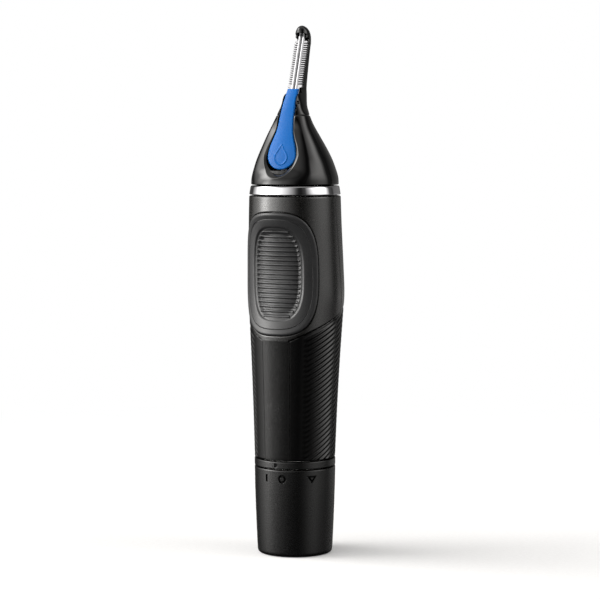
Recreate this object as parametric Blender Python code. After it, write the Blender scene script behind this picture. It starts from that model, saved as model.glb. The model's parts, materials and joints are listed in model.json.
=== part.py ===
"""Battery nose and ear trimmer, modelled as an assembly of separate pieces.

Units are metres. The driving dimensions below are in millimetres and are scaled by MM.
Frame: origin at the centre of the battery cap's flat end, +Z up the handle, front towards -Y,
left and right symmetric about X = 0.
"""
import math

import bmesh
import bpy
from mathutils import Vector

MM = 0.001
FIT = 0.3                      # clearance between pieces that meet
RUNNING = 0.05                 # clearance of a pin in its bore

# Heights of the joints between the outer pieces
CAP_TOP = 23.85
COLLAR_BOTTOM = 24.15
COLLAR_TOP = 26.1
HANDLE_BOTTOM = 26.4
HANDLE_TOP = 97.75
RING_BOTTOM = 98.05
RING_TOP = 100.45
HEAD_BOTTOM = 100.75
HEAD_TOP = 119.4
TONGUE_TOP = 126.6
TIP_TOP = 143.8

# Handle: (height, radius, set-back of the section's centre)
HANDLE_STATIONS = ((26.4, 11.03, 0.0), (40.6, 11.54, 0.2), (53.8, 12.16, 0.45), (66.0, 12.86, 0.75),
                   (71.0, 13.09, 0.92), (78.0, 12.96, 0.7), (90.0, 12.66, 0.13), (97.75, 12.45, 0.0))
# Head: the same three values, from the trim ring up to the neck
HEAD_STATIONS = ((100.75, 11.92, 0.0), (102.5, 11.82, 0.0), (104.1, 11.45, -0.05), (107.4, 10.35, -0.23),
                 (110.6, 8.9, -0.49), (113.9, 7.22, -0.91), (117.1, 5.53, -1.12), (119.4, 4.5, -0.95))
# Neck, guard arm and hood: (height, half width, half depth, centre, squareness of the section)
ARM_STATIONS = ((119.7, 4.38, 4.38, -0.9, 2.0), (122.0, 3.2, 3.7, -0.45, 2.6), (125.2, 2.2, 3.6, 0.5, 3.5),
                (127.0, 1.6, 1.95, 2.55, 4.0), (131.7, 1.5, 1.56, 3.84, 4.0), (138.1, 1.5, 1.21, 5.49, 4.0),
                (139.6, 1.85, 2.1, 5.0, 2.5), (141.0, 1.95, 2.45, 4.66, 2.2), (142.3, 1.75, 2.15, 4.45, 2.0),
                (143.2, 1.2, 1.5, 4.2, 2.0), (143.65, 0.6, 0.75, 4.1, 2.0), (TIP_TOP, 0.15, 0.2, 4.1, 2.0))
# Rinse tongue: (height, half width) above its round lower lobe, and (height, front face)
TONGUE_WIDTHS = ((108.7, 4.35), (111.1, 3.85), (113.3, 3.1), (115.5, 2.5), (121.6, 1.95), (126.6, 1.65))
TONGUE_FACE = ((104.9, -8.75), (107.9, -8.2), (111.1, -7.6), (115.5, -6.1), (121.6, -4.1), (126.6, -1.5))
TONGUE_THICK = 0.8
LOBE_CENTRE = 108.7
LOBE_DROP = 3.8
PORT_SIDE = 0.45               # gap beside the tongue, and below it
PORT_BELOW = 1.0

# Walls
HEAD_WALL = 1.4
HANDLE_WALL = 2.05
GRIP_THICK = 0.7
CAVITY_MIN = 9.35

# Grip wrap: starts beside the front strip, and its top edge climbs towards the back
GRIP_START = 20.0
GRIP_EDGE_FRONT = 59.0
GRIP_RISE = 0.0925             # millimetres for each degree

# Thumb pad: half widths along the surface and half heights of its ovals
PAD_CENTRE = 76.35
PAD_POWER = 2.5
BEZEL_OUTER = (12.6, 17.05)
BEZEL_CREST = (12.1, 16.55)
BEZEL_INNER = (11.3, 15.75)
PAD_EDGE = (11.0, 15.45)
PAD_DISH = (8.5, 12.8)
BEZEL_PROUD = 0.35
BEZEL_DEPTH = 1.5
PAD_LIP = 0.25
DISH_EDGE_DEPTH = 1.75
DISH_DEPTH = 2.4
PAD_THICK = 1.0

# Battery: one standard AA cell
CELL_BOTTOM = 4.5
CELL_LENGTH = 49.5
CELL_RADIUS = 7.1
NUB_HEIGHT = 1.0
NUB_RADIUS = 2.6
TUBE_INNER = 7.4
TUBE_OUTER = 8.3
TUBE_BOTTOM = 10.5
TUBE_TOP = 57.2

# Cap
CAP_PROFILE = ((9.6, 0.0), (10.1, 0.3), (10.28, 1.2), (10.43, 4.0), (10.71, 10.6), (10.94, 17.3), (11.07, CAP_TOP))
CAP_INNER = 9.3
CAP_FLOOR = 1.6
ROTOR_INNER = 8.5
ROTOR_OUTER = 9.05
ROTOR_BOTTOM = 18.0
ROTOR_TOP = 30.0
KEY_HALF_WIDTH = 1.0
KEY_BOTTOM = 18.4
KEY_TOP = 20.6

# Motor and drive
MOTOR_RADIUS = 7.75
MOTOR_FLAT = 6.0
MOTOR_BOTTOM = 63.8
MOTOR_TOP = 84.0
BOSS_RADIUS = 3.0
BOSS_TOP = 85.2
BELL_BOTTOM = 61.0
SHAFT_RADIUS = 0.75
SHAFT_BOTTOM = 78.5
SHAFT_TOP = 90.0
HUB_RADIUS = 1.7
HUB_BOTTOM = 87.3
HUB_TOP = 90.6
CRANK_THROW = 0.4
CRANK_RADIUS = 0.5
CRANK_TOP = 96.0
PLATE_BOTTOM = 85.6
PLATE_TOP = 87.0
PLATE_RADIUS = 9.9
PLATE_FLAT = 6.6               # clears the back of the thumb pad
PIVOT_Y = -1.6
PIVOT_Z = 98.2
PIVOT_RADIUS = 0.8
DRIVE_ARM = 4.0                # pivot down to the crank
BLADE_ARM = 6.0                # pivot out to the blade carrier

# Blade line: starts at the tongue's top and leans back
BLADE_Y = -0.4
BLADE_Z = 126.5
BLADE_TILT = 17.2
TOOTH_PITCH = 0.61
TEETH = 19
TOOTH_WIDTH = 0.3
SPINE_HALF = 0.93
COMB_HALF = 2.1
LOBE_HALF = 2.15
COMB_START = 1.6
FIXED_THICK = 0.35
MOVING_FRONT = 0.45
MOVING_BACK = 0.75
ARM_FACE = 1.0

AROUND = 40                    # sides of the large round pieces
SMALL = 20                     # sides of the small round pieces


def blend(stations, at, column):
    """Smooth curve through the stations' values in one column, at one height."""
    last = len(stations) - 1
    i = 0
    while i < last - 1 and at > stations[i + 1][0]:
        i += 1
    before = stations[max(i - 1, 0)]
    start = stations[i]
    end = stations[i + 1]
    after = stations[min(i + 2, last)]
    span = end[0] - start[0]
    t = min(max((at - start[0]) / span, 0.0), 1.0)
    slope_in = (end[column] - before[column]) / (end[0] - before[0]) * span
    slope_out = (after[column] - start[column]) / (after[0] - start[0]) * span
    square = t * t
    cube = square * t
    return ((2 * cube - 3 * square + 1) * start[column] + (cube - 2 * square + t) * slope_in
            + (3 * square - 2 * cube) * end[column] + (cube - square) * slope_out)


def steps(start, end, count):
    return [start + (end - start) * i / count for i in range(count + 1)]


def clear_scene():
    for old in list(bpy.data.objects):
        bpy.data.objects.remove(old, do_unlink=True)


def finish(name, colour, roughness, metallic=0.0):
    material = bpy.data.materials.new(name)
    material.use_nodes = True
    shader = material.node_tree.nodes["Principled BSDF"]
    shader.inputs["Base Color"].default_value = (*colour, 1.0)
    shader.inputs["Roughness"].default_value = roughness
    shader.inputs["Metallic"].default_value = metallic
    return material


def make_object(name, bm, material, parent=None):
    bmesh.ops.recalc_face_normals(bm, faces=bm.faces)
    bmesh.ops.scale(bm, vec=(MM, MM, MM), verts=bm.verts)
    mesh = bpy.data.meshes.new(name)
    bm.to_mesh(mesh)
    bm.free()
    mesh.shade_smooth()
    mesh.set_sharp_from_angle(angle=math.radians(35))
    piece = bpy.data.objects.new(name, mesh)
    bpy.context.scene.collection.objects.link(piece)
    if material:
        mesh.materials.append(material)
    if parent:
        piece.parent = parent
    return piece


def make_axis(name, at, tilt=0.0):
    """An empty on a joint's axis, which carries the pieces that move about it."""
    axis = bpy.data.objects.new(name, None)
    axis.location = Vector(at) * MM
    axis.rotation_euler = (math.radians(tilt), 0.0, 0.0)
    bpy.context.scene.collection.objects.link(axis)
    return axis


def stacked(name, rings, material, parent=None, tube=False):
    """Skin over a stack of rings with equal counts; a tube joins the last ring to the first."""
    bm = bmesh.new()
    loops = [[bm.verts.new(point) for point in ring] for ring in rings]
    count = len(loops[0])
    pairs = list(zip(loops, loops[1:]))
    if tube:
        pairs.append((loops[-1], loops[0]))
    for low, high in pairs:
        for i in range(count):
            j = (i + 1) % count
            bm.faces.new((low[i], low[j], high[j], high[i]))
    if not tube:
        bm.faces.new(loops[0])
        bm.faces.new(loops[-1])
    return make_object(name, bm, material, parent)


def circle(radius, z, count=AROUND, at=(0.0, 0.0)):
    turns = [2 * math.pi * i / count for i in range(count)]
    return [(at[0] + radius * math.cos(t), at[1] + radius * math.sin(t), z) for t in turns]


def turned(name, profile, material, count=AROUND, parent=None, tube=False, at=(0.0, 0.0)):
    """Turned piece from (radius, height) points; a tube's profile closes on itself."""
    rings = [circle(radius, z, count, at) for radius, z in profile]
    return stacked(name, rings, material, parent, tube)


def box(name, low, high, material=None, parent=None):
    rings = []
    for z in (low[2], high[2]):
        rings.append([(low[0], low[1], z), (high[0], low[1], z), (high[0], high[1], z), (low[0], high[1], z)])
    return stacked(name, rings, material, parent)


def extruded(name, outline, half_width, material=None, parent=None):
    """Outline of (y, z) points, extruded both ways along X."""
    rings = [[(x, y, z) for y, z in outline] for x in (-half_width, half_width)]
    return stacked(name, rings, material, parent)


def plate(name, outline, front, back, material, parent=None):
    """Outline of (x, z) points, given a thickness along Y."""
    rings = [[(x, y, z) for x, z in outline] for y in (front, back)]
    return stacked(name, rings, material, parent)


def frame_block(name, half_x, y_range, z_range, wall, material=None, parent=None):
    """Rectangular ring around a vertical window."""
    rings = []
    for inset, z in ((0.0, z_range[0]), (0.0, z_range[1]), (wall, z_range[1]), (wall, z_range[0])):
        x = half_x - inset
        low = y_range[0] + inset
        high = y_range[1] - inset
        rings.append([(-x, low, z), (x, low, z), (x, high, z), (-x, high, z)])
    return stacked(name, rings, material, parent, tube=True)


def arc_shell(name, angles, heights, outer, inner, material=None):
    """Curved wall between two surfaces over a range of angles; heights(angle) lists its levels."""
    bm = bmesh.new()
    skins = []
    for surface in (outer, inner):
        skins.append([[bm.verts.new(surface(a, z)) for z in heights(a)] for a in angles])
    rows = len(angles)
    columns = len(skins[0][0])
    for skin in skins:
        for i in range(rows - 1):
            for j in range(columns - 1):
                bm.faces.new((skin[i][j], skin[i + 1][j], skin[i + 1][j + 1], skin[i][j + 1]))
    out, back = skins
    for i in range(rows - 1):
        for j in (0, columns - 1):
            bm.faces.new((out[i][j], out[i + 1][j], back[i + 1][j], back[i][j]))
    for j in range(columns - 1):
        for i in (0, rows - 1):
            bm.faces.new((out[i][j], out[i][j + 1], back[i][j + 1], back[i][j]))
    return make_object(name, bm, material)


def cut(piece, tool, operation="DIFFERENCE"):
    """Boolean with a helper object, which stays hidden."""
    tool.hide_render = True
    tool.display_type = "WIRE"
    change = piece.modifiers.new(tool.name, "BOOLEAN")
    change.operation = operation
    change.solver = "EXACT"
    change.object = tool


def join(piece, tool):
    cut(piece, tool, "UNION")


def pin_along_x(name, radius, half_length, at, material=None, parent=None):
    rings = []
    for x in (-half_length, half_length):
        turns = [2 * math.pi * i / SMALL for i in range(SMALL)]
        rings.append([(x, at[0] + radius * math.cos(t), at[1] + radius * math.sin(t)) for t in turns])
    return stacked(name, rings, material, parent)


# Surfaces of the handle and head

def handle_point(angle, z, lift=0.0):
    """Point on the handle; the angle in degrees runs from the front towards +X."""
    radius = blend(HANDLE_STATIONS, z, 1) + lift
    turn = math.radians(angle)
    return (radius * math.sin(turn), blend(HANDLE_STATIONS, z, 2) - radius * math.cos(turn), z)


def cavity_point(angle, z):
    radius = max(CAVITY_MIN, blend(HANDLE_STATIONS, z, 1) - HANDLE_WALL)
    turn = math.radians(angle)
    return (radius * math.sin(turn), blend(HANDLE_STATIONS, z, 2) - radius * math.cos(turn), z)


def head_ring(z, inset=0.0):
    return circle(blend(HEAD_STATIONS, z, 1) - inset, z, AROUND, (0.0, blend(HEAD_STATIONS, z, 2)))


def oval_ring(size, depth, count=AROUND, scale=1.0):
    """Ring of points on an oval drawn on the handle's front, sunk by a depth."""
    points = []
    for i in range(count):
        turn = 2 * math.pi * i / count
        c = math.cos(turn)
        s = math.sin(turn)
        reach = scale * (abs(c) ** PAD_POWER + abs(s) ** PAD_POWER) ** (-1 / PAD_POWER)
        z = PAD_CENTRE + reach * size[1] * s
        angle = math.degrees(reach * size[0] * c / blend(HANDLE_STATIONS, z, 1))
        points.append(handle_point(angle, z, -depth))
    return points


def tongue_half_width(z):
    if z >= LOBE_CENTRE:
        return blend(TONGUE_WIDTHS, z, 1)
    down = (LOBE_CENTRE - z) / LOBE_DROP
    return TONGUE_WIDTHS[0][1] * math.sqrt(max(0.0, 1.0 - down * down))


# Head

def make_head_shell(material):
    outer = [head_ring(z) for z in steps(HEAD_BOTTOM, HEAD_TOP, 10)]
    inner = [head_ring(z, HEAD_WALL) for z in steps(HEAD_TOP, HEAD_BOTTOM, 6)]
    shell = stacked("head_shell", outer + inner, material, tube=True)
    outline = []
    for z in steps(LOBE_CENTRE - LOBE_DROP + 0.02, HEAD_TOP + 1.0, 16):
        outline.append((tongue_half_width(z) + PORT_SIDE, z))
    outline.insert(0, (1.6, LOBE_CENTRE - LOBE_DROP - PORT_BELOW))
    mirrored = [(-x, z) for x, z in reversed(outline)]
    cut(shell, plate("port_cutter", outline + mirrored, -16.0, -1.5, None))


def make_guard_arm(material, blade_axis):
    rings = []
    for z in sorted({station[0] for station in ARM_STATIONS} | {129.3, 134.9}):
        half_x = blend(ARM_STATIONS, z, 1)
        half_y = blend(ARM_STATIONS, z, 2)
        centre = blend(ARM_STATIONS, z, 3)
        power = blend(ARM_STATIONS, z, 4)
        ring = []
        for i in range(SMALL + 4):
            turn = 2 * math.pi * i / (SMALL + 4)
            c = math.cos(turn)
            s = math.sin(turn)
            reach = (abs(c) ** power + abs(s) ** power) ** (-1 / power)
            ring.append((half_x * reach * c, centre + half_y * reach * s, z))
        rings.append(ring)
    arm = stacked("guard_arm", rings, material)
    cutters = (("blade_slot_cutter", (-2.25, -7.0, -9.5), (2.25, ARM_FACE, 14.6)),
               ("hood_pocket_cutter", (-1.3, -0.35, 13.4), (1.3, ARM_FACE - 0.05, 17.0)),
               ("hood_mouth_cutter", (-2.6, -6.0, 13.3), (2.6, -0.3, 15.4)),
               ("spring_pocket_cutter", (-1.3, 0.9, -6.6), (1.3, 1.9, -1.4)))
    for name, low, high in cutters:
        cut(arm, box(name, low, high, parent=blade_axis))


def make_wash_tongue(material):
    rings = []
    lowest = LOBE_CENTRE - LOBE_DROP
    for z in [lowest + 0.05, lowest + 0.5, lowest + 1.3, lowest + 2.5] + steps(LOBE_CENTRE, TONGUE_TOP, 9):
        half = tongue_half_width(z)
        face = blend(TONGUE_FACE, z, 1)
        crown = 0.06 * half
        rings.append([(-half, face + crown, z), (0.0, face, z), (half, face + crown, z),
                      (half, face + TONGUE_THICK, z), (-half, face + TONGUE_THICK, z)])
    stacked("wash_tongue", rings, material)


def comb_outline(foot, tip, foot_half, spine_half):
    """Half outline of a double-sided comb, then mirrored: foot, teeth between two lobes, round tip."""
    half = [(foot_half, foot), (foot_half, COMB_START - 1.1), (LOBE_HALF, COMB_START - 1.0),
            (LOBE_HALF, COMB_START - 0.35), (spine_half, COMB_START - 0.3)]
    for i in range(TEETH):
        base = COMB_START + i * TOOTH_PITCH
        half += [(spine_half, base), (COMB_HALF, base + 0.04),
                 (COMB_HALF, base + TOOTH_WIDTH - 0.04), (spine_half, base + TOOTH_WIDTH)]
    end = COMB_START + TEETH * TOOTH_PITCH
    half += [(spine_half, end), (LOBE_HALF - 0.3, end + 0.05), (LOBE_HALF - 0.3, end + 0.45), (spine_half, end + 0.6),
             (spine_half, tip - 0.6), (spine_half * 0.6, tip - 0.1), (0.2, tip)]
    return half + [(-x, z) for x, z in reversed(half)]


def make_blades(steel, spring_steel, plastic, blade_axis):
    plate("fixed_blade", comb_outline(-9.0, 16.6, 1.5, SPINE_HALF), 0.0, FIXED_THICK, steel, blade_axis)
    moving = comb_outline(-14.0, 15.9, 1.1, SPINE_HALF - 0.1)
    plate("moving_blade", moving, MOVING_FRONT, MOVING_BACK, steel, blade_axis)
    # Carrier: a flat bar behind the moving comb, with a yoke that takes the rocker's arm
    reach = -27.39
    yoke = [(0.3, reach - 1.8), (2.2, reach - 1.8), (2.2, reach - 1.05), (0.95, reach - 1.05),
            (0.95, reach - 0.95), (0.42, reach - 0.95), (0.42, reach + 0.95), (0.95, reach + 0.95),
            (0.95, reach + 1.05), (2.2, reach + 1.05), (2.2, reach + 1.8), (1.65, reach + 1.9),
            (1.65, -8.0), (0.95, -8.0), (0.95, reach + 1.9), (0.3, reach + 1.8)]
    extruded("blade_carrier", yoke, 0.9, plastic, blade_axis)
    # Leaf spring: a shallow bow that keeps the combs together
    bow = [(1.55 - 0.4 * math.sin(math.pi * i / 8), -6.3 + 4.6 * i / 8) for i in range(9)]
    back = [(y + 0.18, z) for y, z in reversed(bow)]
    extruded("blade_leaf_spring", bow + back, 1.0, spring_steel, blade_axis)
    # Channel that leads rinse water from the port up to the combs
    section = [(-2.6, -0.8), (-2.6, 2.9), (2.6, 2.9), (2.6, -0.8), (2.1, -0.8), (2.1, 2.2), (-2.1, 2.2), (-2.1, -0.8)]
    rings = [[(x, y, z) for x, y in section] for z in (-21.4, -8.4)]
    stacked("wash_channel", rings, plastic, blade_axis)


def make_bulkhead(plastic, rubber):
    disc = turned("head_bulkhead", ((9.7, 103.4), (9.7, 104.6)), plastic)
    cut(disc, box("bulkhead_cutter", (-2.2, -7.97, 103.0), (2.2, -4.17, 105.0)))
    frame_block("drive_seal", 1.9, (-7.67, -4.47), (103.5, 104.5), 0.5, rubber)


def make_ring_and_seal(chrome, rubber):
    profile = ((10.7, RING_BOTTOM), (12.4, RING_BOTTOM), (12.4, RING_BOTTOM + 0.3), (12.02, RING_TOP - 0.15),
               (11.9, RING_TOP), (10.7, RING_TOP))
    turned("trim_ring", profile, chrome, tube=True)
    make_torus("head_seal", 10.1, 0.35, 99.25, rubber)


def make_torus(name, major, minor, z, material, sides=6):
    turns = [2 * math.pi * i / sides for i in range(sides)]
    profile = [(major + minor * math.cos(t), z + minor * math.sin(t)) for t in turns]
    turned(name, profile, material, 24, tube=True)


# Handle

def grip_edge(angle, drop=0.0):
    """Height of the grip's top edge; the same on both sides of the handle."""
    away = min(angle, 360.0 - angle)
    return GRIP_EDGE_FRONT + GRIP_RISE * (away - GRIP_START) - drop


def make_handle_shells(plastic):
    shells = []
    for name, start, end in (("handle_front_shell", -89.3, 89.3), ("handle_rear_shell", 90.7, 269.3)):
        shell = arc_shell(name, steps(start, end, 18), lambda angle: steps(HANDLE_BOTTOM, HANDLE_TOP, 10),
                          handle_point, cavity_point, plastic)
        shells.append(shell)
    recess = GRIP_THICK + FIT
    cutter = arc_shell("grip_recess_cutter", steps(GRIP_START - 1.3, 360 - GRIP_START + 1.3, 32),
                       lambda angle: steps(HANDLE_BOTTOM - 2.0, grip_edge(angle) + FIT, 7),
                       lambda angle, z: handle_point(angle, z, 2.0),
                       lambda angle, z: handle_point(angle, z, -recess))
    for shell in shells:
        cut(shell, cutter)
    hole = (BEZEL_OUTER[0] + FIT, BEZEL_OUTER[1] + FIT)
    outside = [oval_ring(hole, -3.0, scale=share) for share in (0.2, 0.6, 1.0)]
    inside = [oval_ring(hole, 4.5, scale=share) for share in (1.0, 0.6, 0.2)]
    cut(shells[0], stacked("pad_window_cutter", outside + inside, None))


def make_grip(rubber):
    arc_shell("grip_wrap", steps(GRIP_START, 360 - GRIP_START, 32),
              lambda angle: steps(HANDLE_BOTTOM, grip_edge(angle), 6),
              handle_point, lambda angle, z: handle_point(angle, z, -GRIP_THICK), rubber)


def make_thumb_pad(bezel_material, pad_material):
    rings = [oval_ring(BEZEL_OUTER, BEZEL_DEPTH), oval_ring(BEZEL_OUTER, 0.0), oval_ring(BEZEL_CREST, -BEZEL_PROUD),
             oval_ring(BEZEL_INNER, 0.0), oval_ring(BEZEL_INNER, BEZEL_DEPTH)]
    stacked("thumb_pad_bezel", rings, bezel_material, tube=True)
    face = [oval_ring(PAD_EDGE, PAD_LIP), oval_ring(PAD_DISH, DISH_EDGE_DEPTH),
            oval_ring(PAD_DISH, (DISH_EDGE_DEPTH + DISH_DEPTH) / 2, scale=0.6), oval_ring(PAD_DISH, DISH_DEPTH, scale=0.2)]
    under = [oval_ring(PAD_DISH, DISH_DEPTH + PAD_THICK, scale=0.2),
             oval_ring(PAD_DISH, DISH_EDGE_DEPTH + PAD_THICK), oval_ring(PAD_EDGE, PAD_LIP + PAD_THICK)]
    stacked("thumb_pad", list(reversed(face)) + list(reversed(under)), pad_material)


def make_collar(plastic):
    profile = ((9.4, COLLAR_BOTTOM), (11.07, COLLAR_BOTTOM), (11.07, COLLAR_TOP), (9.4, COLLAR_TOP))
    turned("collar_ring", profile, plastic, tube=True)


# Battery compartment and contacts

def make_battery_tube(plastic, rubber):
    profile = ((TUBE_INNER, TUBE_BOTTOM), (TUBE_OUTER, TUBE_BOTTOM), (TUBE_OUTER, TUBE_TOP), (2.6, TUBE_TOP),
               (2.6, TUBE_TOP - 1.0), (TUBE_INNER, TUBE_TOP - 1.0))
    turned("battery_tube", profile, plastic, tube=True)
    make_torus("cap_seal", 8.8, 0.2, 15.0, rubber)


def make_contacts(brass):
    turned("positive_contact", ((2.2, 55.3), (2.2, 58.05)), brass, SMALL)
    box("positive_strip", (-5.6, -1.2, 58.35), (2.3, 1.2, 58.65), brass)
    run = [(8.9, 30.6), (8.9, 58.65), (4.6, 58.65), (4.6, 58.35), (8.6, 58.35), (8.6, 30.6)]
    plate("negative_strip", run, -1.4, 1.4, brass)
    for name, x in (("motor_terminal_left", -5.2), ("motor_terminal_right", 5.2)):
        box(name, (x - 0.2, -1.0, 58.95), (x + 0.2, 1.0, BELL_BOTTOM - 0.2), brass)


def make_cell(jacket, nickel, axis):
    top = CELL_BOTTOM + CELL_LENGTH
    can = ((CELL_RADIUS - 0.3, CELL_BOTTOM), (CELL_RADIUS, CELL_BOTTOM + 0.3), (CELL_RADIUS, top - 0.4),
           (CELL_RADIUS - 0.4, top - 0.05), (NUB_RADIUS + RUNNING, top - 0.05), (NUB_RADIUS + RUNNING, top - 0.5))
    turned("battery_cell", can, jacket, 28, axis)
    nub = ((NUB_RADIUS, top - 0.4), (NUB_RADIUS, top + NUB_HEIGHT - 0.2), (NUB_RADIUS - 0.2, top + NUB_HEIGHT))
    turned("battery_terminal", nub, nickel, SMALL, axis)


# Cap and switch

def make_rotor(plastic, axis):
    profile = ((ROTOR_INNER, ROTOR_BOTTOM), (ROTOR_OUTER, ROTOR_BOTTOM),
               (ROTOR_OUTER, ROTOR_TOP), (ROTOR_INNER, ROTOR_TOP))
    rotor = turned("switch_rotor", profile, plastic, parent=axis, tube=True)
    side = KEY_HALF_WIDTH + FIT
    cut(rotor, box("key_slot_cutter", (-12.0, -side, ROTOR_BOTTOM - 1.0), (12.0, side, KEY_TOP + FIT), parent=axis))


def make_cap(plastic, nickel, axis):
    inner = ((CAP_INNER, CAP_TOP), (CAP_INNER, 6.0), (8.9, 3.0), (8.6, CAP_FLOOR))
    cap = turned("battery_cap", CAP_PROFILE + inner, plastic, parent=axis)
    for name, x in (("key_left", -1), ("key_right", 1)):
        inside = sorted((x * 8.65, x * (CAP_INNER + 0.6)))
        key = box(name, (inside[0], -KEY_HALF_WIDTH, KEY_BOTTOM), (inside[1], KEY_HALF_WIDTH, KEY_TOP), parent=axis)
        join(cap, key)
    turned("spring_plate", ((7.5, 1.95), (7.5, 2.2)), nickel, 28, axis)
    make_spring(nickel, axis)


def make_spring(nickel, axis):
    """Conical compression spring under the cell."""
    wire = 0.25
    turns = 1.6
    count = 30
    sides = 6
    low = 2.2 + FIT + wire
    high = CELL_BOTTOM - FIT - wire
    rings = []
    for i in range(count + 1):
        along = i / count
        turn = 2 * math.pi * turns * along
        radius = 5.0 - 1.6 * along
        z = low + (high - low) * along
        ring = []
        for k in range(sides):
            side = 2 * math.pi * k / sides
            reach = radius + wire * math.cos(side)
            ring.append((reach * math.cos(turn), reach * math.sin(turn), z + wire * math.sin(side)))
        rings.append(ring)
    stacked("battery_spring", rings, nickel, axis)


# Motor and drive

def flat_sided(radius, flat, z, count=28):
    """Round section with a flat at the front and the back."""
    return [(x, max(-flat, min(flat, y)), z) for x, y, _ in circle(radius, z, count)]


def make_motor(steel, plastic):
    count = 28
    rings = [flat_sided(MOTOR_RADIUS, MOTOR_FLAT, MOTOR_BOTTOM), flat_sided(MOTOR_RADIUS, MOTOR_FLAT, MOTOR_TOP),
             circle(BOSS_RADIUS, MOTOR_TOP, count), circle(BOSS_RADIUS, BOSS_TOP, count),
             circle(1.1, BOSS_TOP, count), circle(1.1, SHAFT_BOTTOM - 0.5, count)]
    stacked("motor_can", rings, steel)
    bell = [flat_sided(MOTOR_RADIUS - 0.3, MOTOR_FLAT - 0.3, z) for z in (BELL_BOTTOM, MOTOR_BOTTOM - FIT)]
    stacked("motor_end_bell", bell, plastic)


def make_rotating_drive(steel, plastic, axis):
    turned("motor_shaft", ((SHAFT_RADIUS, SHAFT_BOTTOM), (SHAFT_RADIUS, SHAFT_TOP)), steel, 16, axis)
    bore = SHAFT_RADIUS + RUNNING
    hub = [circle(HUB_RADIUS, z, 16) for z in (HUB_TOP, HUB_BOTTOM)]
    hub += [circle(bore, z, 16) for z in (HUB_BOTTOM, SHAFT_TOP + 0.1)]
    stacked("eccentric_hub", hub, plastic, axis)
    pin = ((CRANK_RADIUS, HUB_TOP + RUNNING), (CRANK_RADIUS, CRANK_TOP))
    turned("crank_pin", pin, steel, 16, axis, at=(0.0, CRANK_THROW))


def make_motor_mount(plastic, steel):
    rings = []
    for radius, z in ((3.3, PLATE_BOTTOM), (PLATE_RADIUS, PLATE_BOTTOM), (PLATE_RADIUS, PLATE_TOP), (3.3, PLATE_TOP)):
        rings.append([(x, max(-PLATE_FLAT, y), z) for x, y, z in circle(radius, z, 32)])
    mount = stacked("motor_mount", rings, plastic, tube=True)
    for side in (-1, 1):
        ear = sorted((side * 3.1, side * 4.3))
        arm = sorted((side * 8.1, side * 9.2))
        name = "left" if side < 0 else "right"
        join(mount, box("ear_" + name, (ear[0], PIVOT_Y - 1.9, 86.3), (ear[1], PIVOT_Y + 1.9, 100.2)))
        join(mount, box("cradle_" + name, (arm[0], -3.0, 62.0), (arm[1], 3.0, 86.3)))
        screw_at = (side * 6.9, 5.8)
        hole = turned("screw_hole_" + name, ((1.1, 84.0), (1.1, 88.5)), None, 16, at=screw_at)
        cut(mount, hole)
        head = ((0.8, 80.0), (0.8, PLATE_TOP + FIT), (1.3, PLATE_TOP + FIT), (1.3, PLATE_TOP + 1.3))
        turned("chassis_screw_" + name, head, steel, 16, at=screw_at)
    cut(mount, pin_along_x("pivot_bore", PIVOT_RADIUS + RUNNING, 6.0, (PIVOT_Y, PIVOT_Z)))
    pin_along_x("rocker_pin", PIVOT_RADIUS, 4.3, (PIVOT_Y, PIVOT_Z), steel)


def make_rocker(plastic, axis):
    """Bell crank: a forked lower arm round the crank pin, and a front arm that drives the carrier."""
    rocker = pin_along_x("rocker", 1.7, 2.7, (0.0, 0.0), plastic, axis)
    tilt = math.radians(BLADE_TILT)
    along = Vector((-math.cos(tilt), math.sin(tilt)))
    across = Vector((math.sin(tilt), math.cos(tilt)))
    end = along * BLADE_ARM
    outline = [across * 0.9, end - along * 0.9 + across * 0.5]
    for i in range(9):
        turn = math.radians(130 - 260 * i / 8)
        outline.append(end + (along * math.cos(turn) + across * math.sin(turn)) * 0.75)
    outline += [end - along * 0.9 - across * 0.5, across * -0.9]
    join(rocker, extruded("front_arm", [tuple(point) for point in outline], 0.85, parent=axis))
    drop = -DRIVE_ARM
    join(rocker, box("lower_arm", (-1.1, -1.05, drop + 0.2), (1.1, 0.05, -1.0), parent=axis))
    centre = -PIVOT_Y
    fork = frame_block("fork", 2.5, (centre - 2.7, centre + 2.7), (drop - 0.7, drop + 0.7), 1.2, parent=axis)
    join(rocker, fork)
    cut(rocker, pin_along_x("rocker_bore", PIVOT_RADIUS + RUNNING, 4.0, (0.0, 0.0), parent=axis))


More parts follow.
